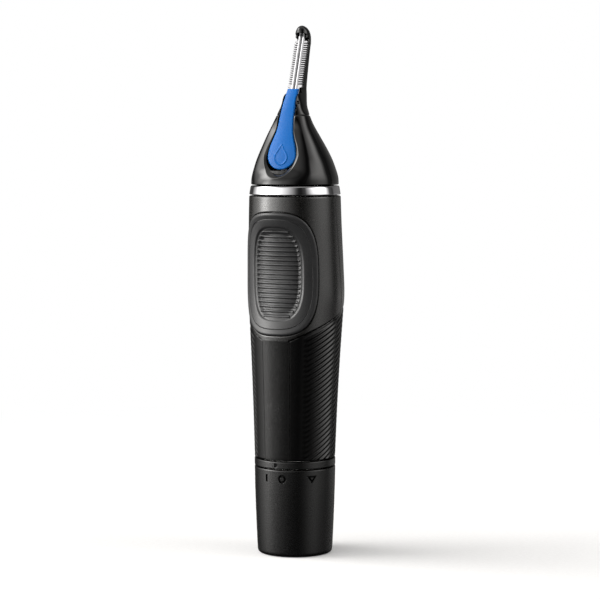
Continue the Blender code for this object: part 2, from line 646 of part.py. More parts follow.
def build():
    clear_scene()
    gloss_black = finish("gloss_black", (0.012, 0.012, 0.013), 0.12)
    satin_black = finish("satin_black", (0.018, 0.018, 0.019), 0.38)
    soft_black = finish("soft_black", (0.014, 0.014, 0.015), 0.55)
    pad_grey = finish("pad_grey", (0.06, 0.062, 0.065), 0.45)
    blue = finish("tongue_blue", (0.04, 0.16, 0.55), 0.3)
    chrome = finish("chrome", (0.8, 0.8, 0.82), 0.08, 1.0)
    steel = finish("blade_steel", (0.62, 0.62, 0.63), 0.25, 1.0)
    spring_steel = finish("spring_steel", (0.5, 0.5, 0.52), 0.3, 1.0)
    motor_steel = finish("motor_steel", (0.45, 0.46, 0.48), 0.35, 1.0)
    nickel = finish("nickel", (0.66, 0.64, 0.6), 0.22, 1.0)
    brass = finish("contact_brass", (0.75, 0.6, 0.28), 0.3, 1.0)
    grey_plastic = finish("chassis_grey", (0.18, 0.18, 0.19), 0.5)
    white_plastic = finish("drive_white", (0.75, 0.75, 0.72), 0.45)
    rubber = finish("seal_rubber", (0.03, 0.03, 0.03), 0.75)
    jacket = finish("cell_jacket", (0.05, 0.2, 0.12), 0.3)

    twist_axis = make_axis("twist_axis", (0.0, 0.0, 0.0))
    motor_axis = make_axis("motor_axis", (0.0, 0.0, 0.0))
    rocker_axis = make_axis("rocker_axis", (0.0, PIVOT_Y, PIVOT_Z))
    blade_axis = make_axis("blade_axis", (0.0, BLADE_Y, BLADE_Z), -BLADE_TILT)

    make_head_shell(gloss_black)
    make_guard_arm(gloss_black, blade_axis)
    make_wash_tongue(blue)
    make_blades(steel, spring_steel, grey_plastic, blade_axis)
    make_bulkhead(grey_plastic, rubber)
    make_ring_and_seal(chrome, rubber)
    make_handle_shells(satin_black)
    make_grip(soft_black)
    make_thumb_pad(pad_grey, pad_grey)
    make_collar(satin_black)
    make_battery_tube(grey_plastic, rubber)
    make_contacts(brass)
    make_cell(jacket, nickel, twist_axis)
    make_rotor(white_plastic, twist_axis)
    make_cap(satin_black, nickel, twist_axis)
    make_motor(motor_steel, white_plastic)
    make_rotating_drive(steel, white_plastic, motor_axis)
    make_motor_mount(grey_plastic, steel)
    make_rocker(white_plastic, rocker_axis)
    bpy.context.view_layer.update()


build()
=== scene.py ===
import json
import math

import bmesh
import bpy
import numpy as np
from mathutils import Matrix, Vector


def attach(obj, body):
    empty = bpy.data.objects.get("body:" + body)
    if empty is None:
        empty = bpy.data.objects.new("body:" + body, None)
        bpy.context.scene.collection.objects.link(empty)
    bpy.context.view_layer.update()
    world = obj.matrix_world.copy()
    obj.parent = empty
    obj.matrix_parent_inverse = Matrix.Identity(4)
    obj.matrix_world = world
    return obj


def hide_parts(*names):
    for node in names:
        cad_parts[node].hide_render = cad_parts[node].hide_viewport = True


MM = 0.001                     # the shapes below are in millimetres
CAMERA_AZIMUTH = 28.3          # degrees from the front, towards the trimmer's left
CAMERA_ELEVATION = 4.67
CAMERA_DISTANCE = 0.5749
CAMERA_HEIGHT = 0.06922        # height that the camera aims at
CAMERA_SIDE = 0.0013655        # how far to its right it is moved
LENS = 126.3

# Camera first
scene = bpy.context.scene
turn = math.radians(CAMERA_AZIMUTH)
rise = math.radians(CAMERA_ELEVATION)
back = Vector((math.sin(turn) * math.cos(rise), -math.cos(turn) * math.cos(rise), math.sin(rise)))
right = Vector((math.cos(turn), math.sin(turn), 0.0))
lens = bpy.data.cameras.new("camera")
lens.lens = LENS
lens.sensor_width = 36.0
lens.clip_start = 0.01
lens.clip_end = 10.0
camera = bpy.data.objects.new("camera", lens)
scene.collection.objects.link(camera)
camera.location = Vector((0.0, 0.0, CAMERA_HEIGHT)) + back * CAMERA_DISTANCE + right * CAMERA_SIDE
camera.rotation_euler = (-back).to_track_quat("-Z", "Y").to_euler()
scene.camera = camera
scene.view_settings.view_transform = "Standard"

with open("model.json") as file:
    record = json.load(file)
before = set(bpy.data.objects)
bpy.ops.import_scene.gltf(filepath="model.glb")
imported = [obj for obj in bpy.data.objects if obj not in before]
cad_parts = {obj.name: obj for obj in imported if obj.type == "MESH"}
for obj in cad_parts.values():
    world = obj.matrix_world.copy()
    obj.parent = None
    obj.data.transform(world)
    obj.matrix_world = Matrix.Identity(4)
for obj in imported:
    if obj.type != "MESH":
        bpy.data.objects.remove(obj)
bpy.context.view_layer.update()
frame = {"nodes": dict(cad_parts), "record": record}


# ---------------------------------------------------------------- materials

class Graph:
    """Small helper to wire up a node tree."""

    def __init__(self, tree):
        self.tree = tree
        self.links = tree.links

    def node(self, kind, **values):
        made = self.tree.nodes.new(kind)
        for key, value in values.items():
            if key in made.inputs:
                self.feed(made.inputs[key], value)
            else:
                setattr(made, key, value)
        return made

    def feed(self, socket, value):
        if isinstance(value, bpy.types.NodeSocket):
            self.links.new(value, socket)
        else:
            socket.default_value = value

    def math(self, operation, first, second=0.0, third=0.0):
        made = self.tree.nodes.new("ShaderNodeMath")
        made.operation = operation
        for socket, value in zip(made.inputs, (first, second, third)):
            self.feed(socket, value)
        return made.outputs[0]

    def spread(self, value, low, high, start=0.3, end=0.7):
        """Maps a noise value from start..end to low..high."""
        made = self.node("ShaderNodeMapRange")
        for name, item in (("Value", value), ("From Min", start), ("From Max", end), ("To Min", low),
                           ("To Max", high)):
            self.feed(made.inputs[name], item)
        return made.outputs[0]

    def blend(self, share, first, second):
        """Colour that goes from first to second as the share goes from 0 to 1."""
        made = self.tree.nodes.new("ShaderNodeMix")
        made.data_type = "RGBA"
        self.feed(made.inputs[0], share)
        self.feed(made.inputs[6], first)
        self.feed(made.inputs[7], second)
        return made.outputs[2]


def rgba(colour, scale=1.0):
    return (*[min(1.0, c * scale) for c in colour], 1.0)


def surface(name, colour, rough, metal=0.0, grain=2600.0, grain_depth=0.004, stretch=(1.0, 1.0, 1.0),
            vary=0.25, rough_vary=0.08, coat=0.0, coat_rough=0.05, fleck=0.0, wear=0.25, specular=0.5):
    """Procedural finish: uneven colour and roughness, fine grain, handling marks and bright flecks."""
    made = bpy.data.materials.new(name)
    made.use_nodes = True
    g = Graph(made.node_tree)
    shader = made.node_tree.nodes["Principled BSDF"]
    place = g.node("ShaderNodeTexCoord").outputs["Object"]
    shaped = g.node("ShaderNodeMapping", Scale=stretch)
    g.feed(shaped.inputs["Vector"], place)
    cloud = g.node("ShaderNodeTexNoise", Scale=140.0, Detail=4.0, Roughness=0.6)
    g.feed(cloud.inputs["Vector"], place)
    fine = g.node("ShaderNodeTexNoise", Scale=grain, Detail=3.0, Roughness=0.55)
    g.feed(fine.inputs["Vector"], shaped.outputs[0])
    mottle = g.spread(cloud.outputs["Fac"], 0.0, 1.0)
    tone = g.blend(mottle, rgba(colour, 1.0 - vary), rgba(colour, 1.0 + vary))
    if fleck:
        spots = g.node("ShaderNodeTexVoronoi", Scale=3400.0)
        g.feed(spots.inputs["Vector"], place)
        sparkle = g.spread(spots.outputs["Color"], 0.0, fleck, 0.72, 0.98)
        tone = g.blend(sparkle, tone, (0.30, 0.27, 0.23, 1.0))
    # Handling marks: sparse, slightly rougher and lighter patches
    rub = g.node("ShaderNodeTexNoise", Scale=55.0, Detail=6.0, Roughness=0.7, Distortion=0.6)
    g.feed(rub.inputs["Vector"], place)
    worn = g.spread(rub.outputs["Fac"], 0.0, wear, 0.56, 0.74)
    rubbed = rgba(colour, 0.6) if metal else (0.2, 0.2, 0.2, 1.0)
    tone = g.blend(g.math("MULTIPLY", worn, 0.03), tone, rubbed)
    g.feed(shader.inputs["Base Color"], tone)
    uneven = g.spread(fine.outputs["Fac"], rough - rough_vary, rough + rough_vary)
    total = g.math("ADD", uneven, g.math("MULTIPLY", worn, 0.22))
    total = g.math("MAXIMUM", total, 0.03)
    g.feed(shader.inputs["Roughness"], total)
    shader.inputs["Metallic"].default_value = metal
    shader.inputs["Specular IOR Level"].default_value = specular
    shader.inputs["Coat Weight"].default_value = coat
    shader.inputs["Coat Roughness"].default_value = coat_rough
    bump = g.node("ShaderNodeBump", Strength=1.0, Distance=grain_depth * MM)
    g.feed(bump.inputs["Height"], fine.outputs["Fac"])
    g.feed(shader.inputs["Normal"], bump.outputs[0])
    return made


# Colour, roughness and the rest of what surface() takes
LOOKS = {
    "gloss_black": ((0.0022, 0.0022, 0.0023), 0.06, dict(grain=900.0, grain_depth=0.0012, rough_vary=0.02,
                                                         wear=0.15)),
    "satin_black": ((0.0034, 0.0032, 0.003), 0.25, dict(specular=0.85, grain=3600.0, grain_depth=0.008,
                                                        fleck=0.06)),
    "strip_black": ((0.0014, 0.0014, 0.0014), 0.2, dict(specular=0.42, grain=4200.0, grain_depth=0.004)),
    "cap_black": ((0.0025, 0.0025, 0.0025), 0.27, dict(grain=4200.0, grain_depth=0.006)),
    # darker, duller finish on the engraved marks' floors: painted shade in the engraving
    "mark_painted_shade": ((0.0012, 0.0012, 0.0012), 0.5, dict(grain=4200.0, grain_depth=0.004, specular=0.1)),
    # near-black finish for the parts seen in the gap round the tongue: painted shade
    "gap_painted_shade": ((0.003, 0.003, 0.003), 0.5, dict(grain=3000.0, grain_depth=0.01)),
    "soft_black": ((0.0012, 0.0012, 0.0013), 0.2, dict(specular=0.42, grain=5200.0, grain_depth=0.004,
                                                       wear=0.3)),
    "pad_grey": ((0.03, 0.0305, 0.0315), 0.33, dict(grain=5000.0, grain_depth=0.005, vary=0.1)),
    "tongue_blue": ((0.004, 0.12, 0.43), 0.28, dict(grain=4200.0, grain_depth=0.004, vary=0.06, wear=0.06,
                                                    specular=0.16)),
    "chrome": ((0.62, 0.62, 0.64), 0.05, dict(metal=1.0, grain=1500.0, grain_depth=0.0006, vary=0.04,
                                              rough_vary=0.02, wear=0.1)),
    "blade_steel": ((0.34, 0.34, 0.35), 0.2, dict(metal=1.0, grain=2200.0, stretch=(1.0, 6.0, 0.06),
                                                  grain_depth=0.002, vary=0.1)),
    # darker steel for the strip between the comb's rails: painted shade in the groove
    "groove_painted_shade": ((0.06, 0.06, 0.062), 0.34, dict(metal=1.0, grain=2200.0, stretch=(1.0, 6.0, 0.06),
                                                     grain_depth=0.002, vary=0.1)),
    "spring_steel": ((0.5, 0.5, 0.52), 0.3, dict(metal=1.0, grain=2000.0, stretch=(1, 1, 0.1))),
    "drive_steel": ((0.6, 0.6, 0.62), 0.26, dict(metal=1.0, grain=2400.0, stretch=(1, 1, 0.15))),
    "motor_steel": ((0.45, 0.46, 0.48), 0.36, dict(metal=1.0, grain=1500.0, stretch=(1, 1, 0.08))),
    "nickel": ((0.66, 0.64, 0.6), 0.24, dict(metal=1.0, grain=1800.0, vary=0.1)),
    "contact_brass": ((0.75, 0.6, 0.28), 0.3, dict(metal=1.0, grain=1700.0, stretch=(1, 1, 0.2))),
    "chassis_grey": ((0.18, 0.18, 0.19), 0.5, dict(grain=3000.0, grain_depth=0.01, vary=0.12)),
    "drive_white": ((0.72, 0.72, 0.69), 0.42, dict(grain=3200.0, grain_depth=0.006, vary=0.05)),
    "seal_rubber": ((0.028, 0.028, 0.028), 0.7, dict(grain=3600.0, grain_depth=0.012)),
    "cell_jacket": ((0.05, 0.2, 0.12), 0.28, dict(grain=1200.0, grain_depth=0.002, coat=0.4)),
}
FINISH = {name: surface(name, colour, rough, **more) for name, (colour, rough, more) in LOOKS.items()}

# Every CAD node takes the finish of its slot, but the two seen in the gap round the tongue take a near-black
# finish instead: painted shade for the dark gap
for part in frame["record"]["subparts"]:
    carried = frame["nodes"][part["node"]]
    carried.data.materials.clear()
    look = "gap_painted_shade" if part["node"] in ("wash_channel", "head_bulkhead") else part["material_slot"]
    carried.data.materials.append(FINISH[look])


# ---------------------------------------------------------------- shape helpers

# Outlines as (height, half width, centre's place along Y) and the like; ARM adds a depth and a roundness
HANDLE = np.array(((26.4, 11.03, 0.0), (40.6, 11.54, 0.2), (53.8, 12.16, 0.45), (66.0, 12.86, 0.75),
                   (71.0, 13.09, 0.92), (78.0, 12.96, 0.7), (90.0, 12.66, 0.13), (97.75, 12.45, 0.0)))
HEAD = np.array(((100.75, 11.92, 0.0), (102.5, 11.82, 0.0), (104.1, 11.45, -0.05), (107.4, 10.35, -0.23),
                 (110.6, 8.9, -0.49), (113.9, 7.22, -0.91), (117.1, 5.53, -1.12), (119.4, 4.5, -0.95)))
ARM = np.array(((119.7, 4.38, 4.38, -0.9, 2.0), (122.0, 3.2, 3.7, -0.45, 2.6), (125.2, 2.2, 3.6, 0.5, 3.5),
                (127.0, 1.6, 1.95, 2.55, 4.0), (131.7, 1.5, 1.56, 3.84, 4.0), (138.1, 1.5, 1.21, 5.49, 4.0),
                (139.6, 1.85, 2.1, 5.0, 2.5), (141.0, 1.95, 2.45, 4.66, 2.2), (142.3, 1.75, 2.15, 4.45, 2.0),
                (143.2, 1.2, 1.5, 4.2, 2.0), (143.65, 0.6, 0.75, 4.1, 2.0), (143.8, 0.15, 0.2, 4.1, 2.0)))
TONGUE_WIDTHS = np.array(((108.7, 4.35), (111.1, 3.85), (113.3, 3.1), (115.5, 2.5), (121.6, 1.95),
                          (126.6, 1.65)))
TONGUE_FACE = np.array(((104.9, -8.75), (107.9, -8.2), (111.1, -7.6), (115.5, -6.1), (121.6, -4.1),
                        (126.6, -1.5)))
HANDLE_LOW, HANDLE_TOP = 26.4, 97.75
HEAD_LOW, HEAD_TOP = 100.75, 119.4
LOBE = 108.7                   # where the tongue's round lobe is widest
LOBE_HALF = 4.35               # its half width there
DROP = 3.8                     # how far it reaches below that
PAD_Z = 76.95                  # middle of the thumb pad
PAD_POWER = 2.9                # how square its oval is
PAD_HOLE = (12.75, 16.7)       # half width and half height of the hole, the pad and its dish
PAD_EDGE = np.array((10.88, 14.83))
PAD_DISH = np.array((8.1, 12.35))
PAD_RIB = 1.25                 # from rib to rib
MARK_RADIUS = 11.0             # where the marks on cap and collar are measured


def curve(stations, at, column=1):
    """Smooth curve through the stations' values, at an array of heights."""
    z = stations[:, 0]
    v = stations[:, column]
    at = np.asarray(at, float)
    i = np.clip(np.searchsorted(z, at, side="left") - 1, 0, len(z) - 2)
    before = np.maximum(i - 1, 0)
    after = np.minimum(i + 2, len(z) - 1)
    span = z[i + 1] - z[i]
    t = np.clip((at - z[i]) / span, 0.0, 1.0)
    slope_in = (v[i + 1] - v[before]) / (z[i + 1] - z[before]) * span
    slope_out = (v[after] - v[i]) / (z[after] - z[i]) * span
    return ((2 * t**3 - 3 * t**2 + 1) * v[i] + (t**3 - 2 * t**2 + t) * slope_in
            + (3 * t**2 - 2 * t**3) * v[i + 1] + (t**3 - t**2) * slope_out)


def smooth(value, low, high):
    """Goes from 0 at low to 1 at high, with no kink."""
    t = np.clip((value - low) / (high - low), 0.0, 1.0)
    return t * t * (3 - 2 * t)


def rounding(distance, radius):
    """How far a rounded edge falls away at a distance from the edge."""
    d = np.clip(distance, 0.0, radius)
    return radius - np.sqrt(np.maximum(radius**2 - (radius - d)**2, 0.0))


def merge(*spans):
    """Sorted samples from (start, end, step) spans and single values."""
    values = []
    for span in spans:
        if np.ndim(span) == 0:
            values.append(float(span))
        else:
            count = max(1, int(round((span[1] - span[0]) / span[2])))
            values.extend(np.linspace(span[0], span[1], count + 1))
    values = np.unique(np.round(values, 5))
    return values[np.concatenate(([True], np.diff(values) > 1e-4))]


def piece(name, verts, faces, finish, slot, body, nodes, sharp=38.0, weld=False):
    """Makes a visible piece out of points in millimetres, and says what it rides on and replaces."""
    mesh = bpy.data.meshes.new(name)
    mesh.from_pydata((np.asarray(verts, float).reshape(-1, 3) * MM).tolist(), [], faces)
    bm = bmesh.new()
    bm.from_mesh(mesh)
    if weld:
        bmesh.ops.remove_doubles(bm, verts=bm.verts, dist=1e-6)
    bmesh.ops.recalc_face_normals(bm, faces=bm.faces)
    bm.to_mesh(mesh)
    bm.free()
    mesh.shade_smooth()
    mesh.set_sharp_from_angle(angle=math.radians(sharp))
    made = bpy.data.objects.new(name, mesh)
    scene.collection.objects.link(made)
    mesh.materials.append(finish)
    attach(made, body)
    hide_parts(*nodes)
    return made


def grid_faces(rows, columns, wrap_rows=False, wrap_columns=True, first=0):
    """Quads of a grid whose rows or columns may close on themselves."""
    r = np.arange(rows if wrap_rows else rows - 1)
    c = np.arange(columns if wrap_columns else columns - 1)
    r, c = np.meshgrid(r, c, indexing="ij")
    r2 = (r + 1) % rows
    c2 = (c + 1) % columns
    quads = np.stack((r * columns + c, r * columns + c2, r2 * columns + c2, r2 * columns + c), -1) + first
    return quads.reshape(-1, 4).tolist()


def tube(name, points, *rest, **more):
    """Closed ring: an array of rows by columns of points, closed in both directions."""
    return piece(name, points, grid_faces(points.shape[0], points.shape[1], True, True), *rest, **more)


def stack_faces(rows, columns):
    """Faces of a stack of rings with a face at each end."""
    ends = [list(range(columns)), list(range((rows - 1) * columns, rows * columns))]
    return grid_faces(rows, columns) + ends


def cup(name, points, *rest, **more):
    """Stack of rings with a face at each end."""
    return piece(name, points, stack_faces(*points.shape[:2]), *rest, **more)


def join(parts):
    """One set of points and faces out of several."""
    verts, faces, count = [], [], 0
    for points, polygons in parts:
        verts.append(points)
        faces += [[k + count for k in face] for face in polygons]
        count += len(points)
    return np.concatenate(verts), faces


def ring_at(a, radius, height, centre=0.0):
    """Ring of points at one height, where angle 0 is the front."""
    return np.stack((radius * np.sin(a), centre - radius * np.cos(a), np.full_like(a, height)), -1)


def along_front(angle):
    """Distance round the cap from its front line, to the trimmer's left if positive."""
    return np.where(angle > np.pi, angle - 2 * np.pi, angle) * MARK_RADIUS


def lathe(profile, columns):
    """Rings of points from (radius, height) pairs."""
    p = np.asarray(profile, float)
    a = np.linspace(0, 2 * np.pi, columns, endpoint=False)
    return np.stack((p[:, :1] * np.sin(a), -p[:, :1] * np.cos(a), np.repeat(p[:, 1:], columns, 1)), -1)


def patch(name, outer, inner, step, *rest, **more):
    """Closed wall: a fine outer grid and an inner grid that keeps every step-th row and column."""
    rows, columns = outer.shape[:2]
    ri, ci = inner.shape[:2]
    verts = np.concatenate((outer.reshape(-1, 3), inner.reshape(-1, 3)))
    base = rows * columns
    faces = grid_faces(rows, columns, False, False)
    faces += grid_faces(ri, ci, False, False, base)
    for i in range(ri - 1):
        for c, k in ((0, 0), (columns - 1, ci - 1)):
            run = [(i * step + s) * columns + c for s in range(step + 1)]
            faces.append(run + [base + (i + 1) * ci + k, base + i * ci + k])
    for j in range(ci - 1):
        for r, k in ((0, 0), (rows - 1, ri - 1)):
            run = [r * columns + j * step + s for s in range(step + 1)]
            faces.append(run + [base + k * ci + j + 1, base + k * ci + j])
    return piece(name, verts, faces, *rest, **more)


def fit_count(values, step):
    """Adds midpoints until the samples can be thinned evenly."""
    values = list(values)
    while (len(values) - 1) % step:
        gaps = np.diff(values)
        k = int(np.argmax(gaps))
        values.insert(k + 1, (values[k] + values[k + 1]) / 2)
    return np.array(values)


def on_handle(angle, z, lift):
    """Points on the handle's surface, raised by lift. Angles are in degrees from the front."""
    radius = curve(HANDLE, z) + lift
    a = np.radians(angle)
    return np.stack((radius * np.sin(a), curve(HANDLE, z, 2) - radius * np.cos(a), z), -1)


def oval_size(angle, z, half_x, half_z):
    """Scale of the pad's oval through a point: 1 on the oval itself."""
    s = np.radians(angle) * curve(HANDLE, z)
    return (np.abs(s / half_x)**PAD_POWER + np.abs((z - PAD_Z) / half_z)**PAD_POWER)**(1 / PAD_POWER)


def oval_points(size, depth, count, scale=1.0):
    """Ring on the pad's oval at a depth below the handle's surface, with its angles and heights."""
    a = np.linspace(0, 2 * np.pi, count, endpoint=False)
    c, s = np.cos(a), np.sin(a)
    reach = scale * (np.abs(c)**PAD_POWER + np.abs(s)**PAD_POWER)**(-1 / PAD_POWER)
    z = PAD_Z + reach * size[1] * s
    angle = np.degrees(reach * size[0] * c / curve(HANDLE, z))
    return on_handle(angle, z, -depth), angle, z


# ---------------------------------------------------------------- handle

STRIP = 19.2                   # half angle of the front strip
GRIP_FRONT = 59.0              # height of the grip's top edge beside the strip
GRIP_SLOPE = 0.0925            # how it climbs, in mm a degree
GRIP_GAP = 0.12                # line between the grip and the case above it
GAP = 0.16                     # half of the seam, in degrees
SUNK = 1.0                     # how deep the case lies under the grip
WELL = 3.2                     # how deep it lies under the pad
SHELL_STEP = 3                 # the inside keeps one row and column in this many


def from_front(angle):
    """Degrees from the front line, either way round."""
    return np.minimum(np.abs(angle), 360.0 - np.abs(angle))


def grip_top(angle):
    """Height of the grip's top edge, which climbs towards the back."""
    away = from_front(angle)
    return GRIP_FRONT + GRIP_SLOPE * (np.maximum(away, STRIP) - 20.0)


def seam_angle(z):
    """Where the front and rear shells meet."""
    return 88.6 + 9.0 * np.clip((98.0 - z) / 32.0, 0.0, 1.0)


def shell_rows(step_low, step_high):
    """Rows of a shell: 0 to 1 below the grip's top edge, 1 to 2 above it, finer at the pad's two ends."""
    fine = 0.3 * step_high
    low = merge(0.0, 0.004, 0.01, (0.01, 0.97, step_low), 0.985, 0.993, 1.0)
    high = merge(0.0, 0.003, 0.006, 0.012, (0.012, 0.055, fine), (0.055, 0.87, step_high),
                 (0.87, 0.915, fine), (0.915, 0.985, step_high), 0.992, 0.997, 1.0)
    return fit_count(np.concatenate((low, 1.0 + high[1:])), SHELL_STEP)


def handle_shell(name, columns, rows, front, nodes):
    """Half of the handle's outer case, with its rows sheared to follow the grip's top edge."""
    v, share = np.meshgrid(rows, fit_count(columns, SHELL_STEP), indexing="ij")
    z = np.full_like(v, 60.0)
    for _ in range(3):
        angle = share * (seam_angle(z) - GAP) if front else 180.0 + share * (180.0 - seam_angle(z) - GAP)
        edge = grip_top(angle) + GRIP_GAP
        z = np.where(v <= 1.0, HANDLE_LOW + (edge - HANDLE_LOW) * v, edge + (HANDLE_TOP - edge) * (v - 1.0))
    radius = curve(HANDLE, z)
    strip_gap = np.radians(from_front(angle) - STRIP) * radius
    below = v < 1.0 - 1e-9
    if front:
        lift = np.where(below & (strip_gap > 0.0), -SUNK, 0.0)
        lift -= np.where(below & (strip_gap <= 0.0), rounding(-strip_gap, 0.22), 0.0)
        reach = (oval_size(angle, z, *PAD_HOLE) - 1.0) * PAD_HOLE[0]
        lift = np.where(reach < 0.0, -WELL, lift)
        lift -= np.where(reach >= 0.0, 0.05 * np.clip(1.0 - reach / 0.15, 0, 1), 0.0)
    else:
        lift = np.where(below, -SUNK, 0.0)
    # Rounded edges: over the grip, at both ends and at the seam
    lift -= np.where(~below & (strip_gap > 0), rounding(z - grip_top(angle) - GRIP_GAP, 0.25), 0.0)
    lift -= rounding(HANDLE_TOP - z, 0.3) + rounding(z - HANDLE_LOW, 0.2)
    lift -= rounding(np.radians((1.0 - np.abs(share)) * 90.0) * radius, 0.22)
    outer = on_handle(angle, z, lift)
    inner_radius = np.maximum(9.35, radius - 2.05 - 1.4)
    inner = on_handle(angle, z, inner_radius - radius)[::SHELL_STEP, ::SHELL_STEP]
    made = patch(name, outer, inner, SHELL_STEP, FINISH["satin_black"], "satin_black", "handle", nodes)
    made.data.materials.append(FINISH["strip_black"])
    for face in made.data.polygons:
        if face.center.z < GRIP_FRONT * MM:
            face.material_index = 1


def make_handle():
    front = merge(-1.0, -0.998, -0.9955, (-0.993, -0.72, 0.014), (-0.72, 0.72, 0.0046), (0.72, 0.993, 0.014),
                  0.9955, 0.998, 1.0)
    handle_shell("shell_front", front, shell_rows(0.024, 0.0062), True, ["handle_front_shell"])
    rear = merge(-1.0, -0.998, -0.9955, (-0.993, 0.993, 0.016), 0.9955, 0.998, 1.0)
    handle_shell("shell_rear", rear, shell_rows(0.08, 0.03), False, ["handle_rear_shell"])


def make_grip():
    """Soft wrap with shallow rounded ribs that climb towards the back."""
    pitch = 1.38
    slope = 0.112
    floor = 0.28
    step = 2
    angles = fit_count(merge(STRIP + 0.8, STRIP + 1.1, STRIP + 1.5, (STRIP + 2.1, 357.9 - STRIP, 1.15),
                             358.5 - STRIP, 358.9 - STRIP, 359.2 - STRIP), step)
    low_row = HANDLE_LOW - slope * 180.0
    high_row = float(grip_top(STRIP)) - slope * STRIP
    rows = fit_count(merge((low_row, high_row, pitch / 10)), step)
    row, angle = np.meshgrid(rows, angles, indexing="ij")
    top = grip_top(angle)
    away = from_front(angle)
    z = np.clip(row + slope * away, HANDLE_LOW, top)
    phase = np.mod(row / pitch, 1.0)
    tooth = smooth(2.0 * np.minimum(phase, 1.0 - phase), 0.0, 1.0)
    # The ribs fade out beside the strip, at the back and under the top edge
    depth = smooth(away, 37.0, 50.0) * (1.0 - smooth(away, 158.0, 172.0))
    depth = depth * smooth(top - z, 0.4, 1.6)
    lift = -floor + depth * (floor * tooth + 0.01 * (1 - tooth))
    lift -= rounding(top - z, 0.25) + rounding(z - HANDLE_LOW, 0.2)
    lift -= rounding(np.radians(away - STRIP - 0.8) * curve(HANDLE, z), 0.2)
    outer = on_handle(angle, z, lift)
    inner = on_handle(angle, z, np.full_like(z, -0.95))[::step, ::step]
    patch("grip", outer, inner, step, FINISH["soft_black"], "soft_black", "handle", ["grip_wrap"], weld=True)


def make_pad():
    """Raised rim, and the face inside it: its edge, a flat that slopes inwards, and a ribbed dish."""
    count = 480
    profile = ((12.55, 16.5, 1.4), (12.55, 16.5, 0.2), (12.54, 16.49, -0.1), (12.5, 16.45, -0.24),
               (12.4, 16.35, -0.34), (12.25, 16.2, -0.4), (12.0, 15.95, -0.42), (11.75, 15.7, -0.38),
               (11.4, 15.35, -0.27), (11.1, 15.05, -0.16), (10.94, 14.89, -0.12), (10.91, 14.86, -0.08),
               (10.9, 14.85, 0.1), (10.9, 14.85, 1.4))
    rings = [oval_points(p[:2], p[2], count)[0] for p in profile]
    tube("pad_bezel", np.array(rings), FINISH["pad_grey"], "pad_grey", "handle", ["thumb_pad_bezel"])

    rings = [oval_points(PAD_EDGE * share, depth, count)[0]
             for share, depth in ((1.0, 1.2), (1.0, 0.05), (0.998, -0.02), (0.994, -0.06), (0.988, -0.07))]
    for t in np.linspace(0.03, 1.0, 22)[1:]:
        size = PAD_EDGE * (1 - t) + PAD_DISH * t
        depth = -0.07 + 0.62 * t**1.2 + 0.35 * smooth(t, 0.8, 1.0)
        rings.append(oval_points(size, depth, count)[0])
    for scale in np.linspace(1.0, 0.02, 110)[1:]:
        _, angle, z = oval_points(PAD_DISH, 0.0, count, scale)
        bowl = 0.9 + 0.75 * smooth(1 - scale, 0.0, 0.14) + 0.45 * smooth(1 - scale, 0.1, 1.0)
        rib_z = PAD_Z + np.clip(np.round((z - PAD_Z) / PAD_RIB), -9, 9) * PAD_RIB
        room = np.maximum(0.0, 1 - np.abs((rib_z - PAD_Z) / PAD_DISH[1])**PAD_POWER)
        half = PAD_DISH[0] * room**(1 / PAD_POWER) - 0.75
        s = np.radians(angle) * curve(HANDLE, z)
        away = np.hypot(np.maximum(np.abs(s) - half, 0.0), z - rib_z)
        rib = 0.36 * np.sqrt(np.clip(1 - (away / 0.32)**2, 0, 1))
        rings.append(on_handle(angle, z, -(bowl - rib)))
    under = [oval_points(PAD_EDGE * share, depth, count)[0]
             for share, depth in ((0.3, 3.4), (0.72, 3.2), (1.0, 1.5))]
    rings = np.array(rings[::-1] + under[::-1])
    cup("pad_face", rings, FINISH["pad_grey"], "pad_grey", "handle", ["thumb_pad"])


def engraved(made, wall_radius):
    """Matte floor for the marks, darker and less glossy than the cap as painted shade in the engraving: the
    front faces that lie below the wall.
    """
    made.data.materials.append(FINISH["mark_painted_shade"])
    for face in made.data.polygons:
        x, y, z = face.center / MM
        outward = face.normal.x * x + face.normal.y * y
        if y < 0 and 19.8 < z < 25.8 and outward > 0 and 9.8 < math.hypot(x, y) < wall_radius(x, z):
            face.material_index = 1


def make_collar():
    """Ring above the cap, with a small pointer engraved at its front: a half round, flat on its left."""
    low, top, radius = 24.15, 26.1, 11.07
    a = np.radians(merge((-9.0, 9.0, 0.45), (12.0, 348.0, 3.0)))
    z = np.array([low, 24.2, 24.3, 24.42] + list(np.linspace(24.5, 25.75, 14)) + [25.85, 25.95, 26.05, top])
    angle, height = np.meshgrid(a, z)
    lift = -rounding(height - low, 0.16) - rounding(top - height, 0.16)
    sx = along_front(angle)
    notch = np.maximum(np.hypot((sx + 0.35) / 0.8, (height - 25.1) / 0.6), 1.0 - (sx + 0.4) / 0.12)
    lift -= 0.25 * (1 - smooth(notch, 0.85, 1.1))
    outer = np.stack(((radius + lift) * np.sin(angle), -(radius + lift) * np.cos(angle), height), -1)
    inner = [ring_at(a, 9.4, top), ring_at(a, 9.4, low)]
    rings = np.concatenate((outer, np.array(inner)))
    made = tube("collar", rings, FINISH["cap_black"], "satin_black", "handle", ["collar_ring"])
    engraved(made, lambda x, y: 10.9)


